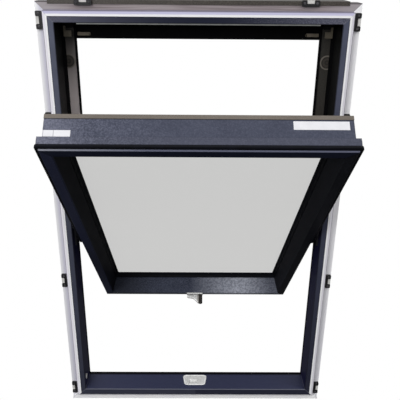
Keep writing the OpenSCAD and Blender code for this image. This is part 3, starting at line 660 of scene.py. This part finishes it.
LOOKS = (
    (profile("jamb"), "frame_left_jamb frame_right_jamb"),
    (profile("head"), "frame_head"),
    (profile("sill"), "frame_sill"),
    (top_rail_foil(), "sash_top_rail"),
    (BOTTOM_FOIL, "sash_bottom_rail"),
    (STILE_FOIL, "sash_left_stile sash_right_stile"),
    (powder_coat("cover_grey_brown", rgb(88, 81, 74), rgb(98, 91, 84)),
     "sill_cover lower_cover_left lower_cover_right"),
    (side_coat(), "jamb_cover_left jamb_cover_right"),
    (powder_coat("angle_grey_brown", rgb(88, 82, 68), rgb(102, 94, 78), 0.45), "corner_angles"),
    (powder_coat("sash_cover_grey_brown", rgb(88, 80, 72), rgb(100, 92, 84), sash=True),
     "sash_cover_top sash_cover_bottom sash_cover_left sash_cover_right"),
    # the head cover's coat is painted darker than the other covers for the shade it lies in
    (powder_coat("head_cover_grey_brown", rgb(48, 44, 39), rgb(58, 53, 48)), "head_cover"),
    (boss_coat(), "cover_bosses"),
    (rubber("rubber_black", rgb(5, 5, 7), rgb(10, 10, 13), 0.75),
     "head_stop jamb_seals cover_rubbers lower_gaskets"),
    (rubber("sash_rubber_black", rgb(9, 10, 16), rgb(18, 20, 30), 0.55, sash=True),
     "sash_gasket sash_lower_seal inner_glazing_gasket outer_glazing_gasket edge_sealant"),
    (moulded("plastic_black", rgb(10, 10, 12), rgb(26, 24, 28), 0.4),
     "clips_left clips_right clips_head setting_blocks cover_clips"),
    (moulded("plastic_dull_black", rgb(6, 6, 8), rgb(12, 12, 14), 0.7, shine=0.2), "corner_blocks"),
    (LIGHT, "clip_inserts jamb_plug friction_washers"),
    (moulded("plastic_grey", rgb(104, 106, 106), rgb(122, 124, 122), 0.5), "head_strip"),
    (BEIGE, "head_catches"),
    (metal("steel_zinc", rgb(190, 190, 192), rgb(210, 210, 212), 0.35),
     "frame_steel sash_steel frame_hinge_screws sash_hinge_screws pivot_pins striker_screws latch_screws"),
    (metal("steel_dark", rgb(70, 70, 76), rgb(88, 88, 94), 0.42),
     "frame_hinge_left frame_hinge_right sash_hinge_left sash_hinge_right latch_bolt"),
    (moulded("metal_silver_paint", rgb(206, 206, 204), rgb(222, 222, 222), 0.3),
     "striker_plate latch_handle"),
    (moulded("latch_plate_silver", rgb(250, 250, 248), rgb(255, 255, 255), 0.3), "latch_plate"),
    (metal("spacer_mill", rgb(150, 152, 154), rgb(170, 172, 174), 0.3, (1, 1, 30), sash=True), "spacer_bar"),
    (label_film(), "sash_labels"),
    (inner_glass(), "inner_pane"),
    (outer_glass(), "outer_pane"),
)

for material, names in LOOKS:
    for name in names.split():
        node = nodes[name]
        for slot in node.material_slots:
            slot.material = material
        if not node.material_slots:
            node.data.materials.append(material)


# ---- mesh helpers ----


def piece(name, shape, material, body, turn=None, smooth=True):
    """A mesh of (vertices, faces) in the row frame, or moved into it by turn, that rides on a body."""
    verts, faces = shape
    mesh = bpy.data.meshes.new(name)
    mesh.from_pydata([tuple(v) for v in verts], [], faces)
    if turn is not None:
        mesh.transform(turn)
    bm = bmesh.new()
    bm.from_mesh(mesh)
    bmesh.ops.remove_doubles(bm, verts=bm.verts, dist=1e-6)
    bmesh.ops.recalc_face_normals(bm, faces=bm.faces)
    bm.to_mesh(mesh)
    bm.free()
    for poly in mesh.polygons:
        poly.use_smooth = smooth
    mesh.materials.append(material)
    obj = bpy.data.objects.new(name, mesh)
    bpy.context.scene.collection.objects.link(obj)
    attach(obj, body)
    return obj


def strips(rings, around, closed=True):
    """The faces between neighbouring rings of points."""
    faces = []
    for i in range(rings - 1):
        for k in range(around if closed else around - 1):
            n = (k + 1) % around
            faces.append((i * around + k, i * around + n, (i + 1) * around + n, (i + 1) * around + k))
    return faces


def lathe(outline, steps):
    """The shape of [radius, height] points turned about Z; its ends close on the axis."""
    angles = [math.tau * k / steps for k in range(steps)]
    verts = [(r * math.cos(a), r * math.sin(a), h) for r, h in outline for a in angles]
    return verts, strips(len(outline), steps)


def joined(parts):
    """Several (vertices, faces, matrix) as one shape."""
    verts, faces = [], []
    for part_verts, part_faces, matrix in parts:
        base = len(verts)
        verts += [matrix @ Vector(v) for v in part_verts]
        faces += [tuple(base + i for i in face) for face in part_faces]
    return verts, faces


def squircle(angle, power):
    """A point on a unit square with rounded corners; a higher power is squarer."""
    c, s = math.cos(angle), math.sin(angle)
    r = 1 / (abs(c) ** power + abs(s) ** power) ** (1 / power)
    return c * r, s * r


def step(value, low, high):
    """0 below low and 1 above high, with a smooth rise between."""
    f = min(1.0, max(0.0, (value - low) / (high - low)))
    return f * f * (3 - 2 * f)


# ---- the latch's striker and handle ----


def striker():
    """The striker on the sill: a tapered tray with a rolled rim, a cup for the bolt and two dimples."""
    rings, around = 56, 160
    half_w, taper = 0.0358, 0.0032
    rim_h, tray_drop, cup_drop, floor_h = 0.0020, 0.0012, 0.0052, -0.0044
    cup_half, cup_slope = (0.0112, 0.0062), 0.0016
    ledge_h, ledge_y = 0.0004, 0.010
    dimple_x, dimple_y, dimple_r, dimple_drop = 0.0265, -0.0145, 0.0030, 0.0008
    lift = 0.00002  # above the sill's face
    lo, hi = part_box("striker_plate")
    cx, cy = (lo.x + hi.x) / 2, (lo.y + hi.y) / 2
    half_h = (hi.y - lo.y) / 2
    bolt_lo, bolt_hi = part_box("latch_bolt")
    cup_x = (bolt_lo.x + bolt_hi.x) / 2 - cx
    cup_y = FRONT + SHUT_BOLT_DEPTH - cy

    def height(x, y, r):
        """The tray's height at a point, whose r is 0 in the middle and 1 at the rim."""
        rim = rim_h * step(1 - r, 0.0, 0.035) - tray_drop * step(1 - r, 0.10, 0.17)
        cup = 1 - step(abs(x - cup_x), cup_half[0], cup_half[0] + cup_slope)
        cup *= 1 - step(abs(y - cup_y), cup_half[1], cup_half[1] + cup_slope)
        ledge = ledge_h * (1 - step(abs(y - ledge_y), 0.0003, 0.0012)) * step(1 - r, 0.17, 0.2)
        dimples = sum(step(dimple_r - math.hypot(x - at, y - dimple_y), 0.0, 0.0016)
                      for at in (-dimple_x, dimple_x))
        return max(rim + ledge - dimple_drop * dimples - cup_drop * cup, floor_h)

    verts = []
    for i in range(rings + 1):
        r = i / rings
        for k in range(around):
            u, v = squircle(math.tau * k / around, 7.0)
            x, y = r * u * (half_w + taper * v), r * v * half_h
            verts.append((cx + x, cy + y, SILL_TOP + height(x, y, r) + lift))
    shape = verts, strips(rings + 1, around)
    obj = piece("striker_tray", shape, striker_cast(), "frame")
    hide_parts("striker_plate", "striker_screws")


def sleeve_outline():
    """The sleeve's outline, from the plate to its domed end, with six ribs."""
    near_z, end_z = 0.0043, 0.0383
    root_r, rib_r, valley_r = 0.0066, 0.0074, 0.0068
    outline = [(0.0, near_z), (root_r, near_z), (rib_r, near_z + 0.0008), (rib_r, near_z + 0.005)]
    for k in range(6):
        z = near_z + 0.0065 + k * 0.0042
        outline += [(valley_r, z), (rib_r, z + 0.0012), (rib_r, z + 0.0028)]
    dome = [(0.0070, end_z - 0.0028), (0.0058, end_z - 0.0010), (0.0036, end_z - 0.0001), (0.0, end_z)]
    return outline + dome


def lever_shape():
    """The lever, by sections across it from inside the sleeve out to the tip."""
    stations = (  # x, low side, high side, half thickness
        (-0.002, 0.0055, 0.0375, 0.0042), (-0.0075, 0.0065, 0.0372, 0.0041),
        (-0.012, 0.0075, 0.0325, 0.0038), (-0.017, 0.0080, 0.0272, 0.0036),
        (-0.022, 0.0080, 0.0225, 0.0036), (-0.027, 0.0075, 0.0195, 0.0037),
        (-0.032, 0.0068, 0.0182, 0.0040), (-0.037, 0.0064, 0.0178, 0.0043),
        (-0.042, 0.0068, 0.0172, 0.0043), (-0.0455, 0.0082, 0.0160, 0.0038),
        (-0.0474, 0.0102, 0.0140, 0.0026),
    )
    around = 20
    verts = []
    for x, low, high, half in stations:
        for k in range(around):
            u, v = squircle(math.tau * k / around, 3.4)
            verts.append((x, u * half, (low + high) / 2 + v * (high - low) / 2))
    last = (len(stations) - 1) * around
    ends = [tuple(range(around)), tuple(last + k for k in range(around))]
    return verts, strips(len(stations), around) + ends


def latch():
    """The latch handle: a ribbed sleeve on the spindle and a forged lever that swells to its tip."""
    base = SASH @ Matrix.Translation(SPINDLE) @ FACING
    dark = moulded("latch_sleeve", rgb(34, 29, 26), rgb(48, 42, 38), 0.35, 900, sash=True)
    hub = piece("latch_sleeve", lathe(sleeve_outline(), 56), dark, "latch_handle", base)
    lever = piece("latch_lever", lever_shape(), lever_satin(), "latch_handle", base)
    smooth = lever.modifiers.new("smooth", "SUBSURF")
    smooth.levels = smooth.render_levels = 2
    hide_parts("latch_handle")


# ---- small pieces on the frame and the sash ----


def rivets():
    """Domed rivets with a punched centre in the flange clips' holes."""
    outline = [(0.0, 0.0008), (0.0007, 0.0008), (0.0010, 0.0013), (0.0018, 0.0014), (0.0027, 0.0011),
               (0.0032, 0.0004), (0.0033, -0.0002), (0.0019, -0.0004), (0.0019, -0.004), (0.0, -0.004)]
    clip_lo, clip_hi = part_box("clips_left")
    rivet_x = HALF_W - (clip_hi.x - clip_lo.x) / 2
    head_lo, head_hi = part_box("clips_head")
    head_z = (head_lo.z + head_hi.z) / 2
    spots = [(side * rivet_x, clip_lo.y, z + end * RIVET_HALF_PITCH)
             for z in CLIP_Z for side in (-1, 1) for end in (-1, 1)]
    spots += [(x + end * RIVET_HALF_PITCH, head_lo.y, head_z) for x in HEAD_CLIP_X for end in (-1, 1)]
    verts, faces = lathe(outline, 28)
    shape = joined([(verts, faces, Matrix.Translation(spot) @ FACING) for spot in spots])
    dark = moulded("rivet_black", rgb(34, 33, 36), rgb(70, 68, 72), 0.3)
    piece("clip_rivets", shape, dark, "frame")


def plugs():
    """Pale caps on the ends of the sash's lip, as pressed-in plugs with rounded faces."""
    around = 24
    half_depth, half_height = 0.0072, 0.0030
    middle_t, middle_drop = 0.0175, 0.0080
    rings = ((1.0, 0.0), (1.0, 0.0006), (0.86, 0.0012), (0.5, 0.0015), (0.0, 0.0016))  # size, how far out
    parts = []
    for side in (-1, 1):
        verts = []
        for grow, out in rings:
            for k in range(around):
                u, v = squircle(math.tau * k / around, 4)
                verts.append((side * out, u * grow * half_depth, v * grow * half_height))
        place = Matrix.Translation((side * (SASH_HALF_W - LIP_INSET), middle_t, SASH_HALF_H - middle_drop))
        parts.append((verts, strips(len(rings), around), SASH @ place))
    piece("lip_plugs", joined(parts), LIGHT, "sash")


def weld_beads():
    """The fine weld bead that stands along the mitres of the sash's flat face."""
    steps, around = 26, 8
    start, length = 0.0115, 0.0192
    half_w, face_t = 0.00035, -0.0039
    parts = []
    for side in (-1, 1):
        for up in (-1, 1):
            verts = []
            for i in range(steps + 1):
                f = i / steps
                inset = start + f * length
                w = half_w * (1 + 0.25 * math.sin(37 * f + side) * math.sin(11 * f + up))
                for k in range(around):
                    a = math.pi * k / (around - 1)
                    across = 0.7 * w * math.cos(a)
                    verts.append((side * (SASH_HALF_W - inset + across), face_t - 0.8 * w * math.sin(a),
                                  up * (SASH_HALF_H - inset - across)))
            parts.append((verts, strips(steps + 1, around, closed=False), SASH))
    piece("sash_weld_beads", joined(parts), STILE_FOIL, "sash")


def catch_hooks():
    """The small turned-down tongue on each head catch's inner end."""
    bend_r, drop, thick = 0.0030, 0.004, 0.0008
    tongue_x = 0.0302  # from the catch's outer end to where the tongue starts
    margins = (0.0004, 0.0002)  # between the tongue and the catch's front and back
    steps = 8
    lo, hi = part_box("head_catches")
    parts = []
    for side in (-1, 1):
        verts, faces = [], []
        for i in range(steps + 1):
            a = math.pi / 2 * i / steps
            x = hi.x - tongue_x - bend_r * math.sin(a)
            z = hi.z - bend_r + bend_r * math.cos(a) - drop * i / steps
            for y in (lo.y + margins[0], hi.y - margins[1]):
                for t in (0.0, thick):
                    verts.append((side * (x + t), y, z - t))
        for i in range(steps):
            a, b = 4 * i, 4 * i + 4
            faces += [(a, a + 2, b + 2, b), (a + 1, b + 1, b + 3, a + 3),
                      (a, b, b + 1, a + 1), (a + 2, a + 3, b + 3, b + 2)]
        end = 4 * steps
        faces += [(0, 1, 3, 2), (end, end + 2, end + 3, end + 1)]
        parts.append((verts, faces, Matrix.Identity(4)))
    piece("catch_tongues", joined(parts), BEIGE, "frame", smooth=False)


def soft_edge(name, width):
    """Rounds a CAD node's sharp edges with a bevel that leaves its mesh alone."""
    bevel = nodes[name].modifiers.new("soft_edge", "BEVEL")
    bevel.width = width
    bevel.segments = 2
    bevel.limit_method = "ANGLE"
    bevel.angle_limit = math.radians(40)


striker()
latch()
rivets()
plugs()
weld_beads()
catch_hooks()

for width, names in (
    (0.0004, "corner_angles head_cover"),
    (0.0005, "head_strip cover_bosses"),
    (0.0006, "jamb_plug clip_inserts sash_hinge_left sash_hinge_right frame_hinge_left frame_hinge_right"),
    (0.0007, "clips_left clips_right clips_head"),
    (0.0008, "latch_plate"),
    (0.001, "head_catches"),
):
    for name in names.split():
        soft_edge(name, width)


# ---- studio ----


def floor():
    """A plain pale floor that looks white and throws only a little light back up."""
    half, drop = 30.0, 0.002
    mesh = bpy.data.meshes.new("studio_floor")
    corners = [(-half, -half, 0), (half, -half, 0), (half, half, 0), (-half, half, 0)]
    mesh.from_pydata(corners, [], [(0, 1, 2, 3)])
    obj = bpy.data.objects.new("studio_floor", mesh)
    obj.location.z = -drop
    bpy.context.scene.collection.objects.link(obj)
    g = Graph("studio_white")
    g.surface(g.glow(seen=1.0, unseen=0.10).outputs[0])
    mesh.materials.append(g.mat)


def world():
    """White to the camera; to the object a soft studio, brightest overhead and to the left."""
    below, overhead, left, front = 0.04, 1.0, 0.3, 0.3
    studio = bpy.data.worlds.new("studio")
    bpy.context.scene.world = studio
    studio.use_nodes = True
    g = Graph("studio", studio.node_tree)
    x, y, z = g.split(g.add("ShaderNodeTexCoord").outputs["Generated"])
    sky = g.math("ADD", g.ramp(z, -0.35, 1.0, below, overhead), g.ramp(x, -1.0, 0.4, left, 0.0))
    sky = g.math("ADD", sky, g.ramp(y, -1.0, 0.0, front, 0.0))
    seen = g.add("ShaderNodeLightPath").outputs["Is Camera Ray"]
    back = g.nt.nodes["Background"]
    back.inputs["Color"].default_value = (1, 1, 1, 1)
    g.link(g.math("ADD", seen, g.times(g.minus(1.0, seen), sky)), back.inputs["Strength"])


def area(name, place, target, size, power):
    """A soft rectangular light that shines from a place at a target."""
    light = bpy.data.lights.new(name, "AREA")
    light.shape = "RECTANGLE"
    light.size, light.size_y = size
    light.energy = power
    obj = bpy.data.objects.new(name, light)
    obj.location = place
    obj.rotation_mode = "QUATERNION"
    obj.rotation_quaternion = (Vector(target) - Vector(place)).to_track_quat("-Z", "Y")
    bpy.context.scene.collection.objects.link(obj)
    obj.visible_camera = False


bpy.context.scene.view_settings.view_transform = "Standard"
floor()
world()
area("key", place=(-1.5, -2.8, 2.2), target=(0, 0, 0.75), size=(1.2, 1.6), power=40)
area("fill", place=(2.2, -1.2, 2.6), target=(0, 0, 0.5), size=(1.0, 1.0), power=10)


# ---- camera ----


def camera():
    """Stands before the window, a little above its head, and looks down at it."""
    place = (-0.0150, -1.5185, 1.2699)
    pitch, roll, yaw = 0.4304, 0.0046, 0.0081
    turn = Matrix.Rotation(yaw, 3, "Z") @ Matrix.Rotation(roll, 3, "Y") @ Matrix.Rotation(pitch, 3, "X")
    right, ahead, up = turn.row
    data = bpy.data.cameras.new("camera")
    data.sensor_fit = "HORIZONTAL"
    data.sensor_width = 36.0
    data.lens = 52.893
    data.shift_x = 0.0095
    data.shift_y = 0.0755
    data.dof.use_dof = False
    obj = bpy.data.objects.new("camera", data)
    obj.matrix_world = Matrix.Translation(place) @ Matrix((right, up, -ahead)).transposed().to_4x4()
    bpy.context.scene.collection.objects.link(obj)
    bpy.context.scene.camera = obj


camera()
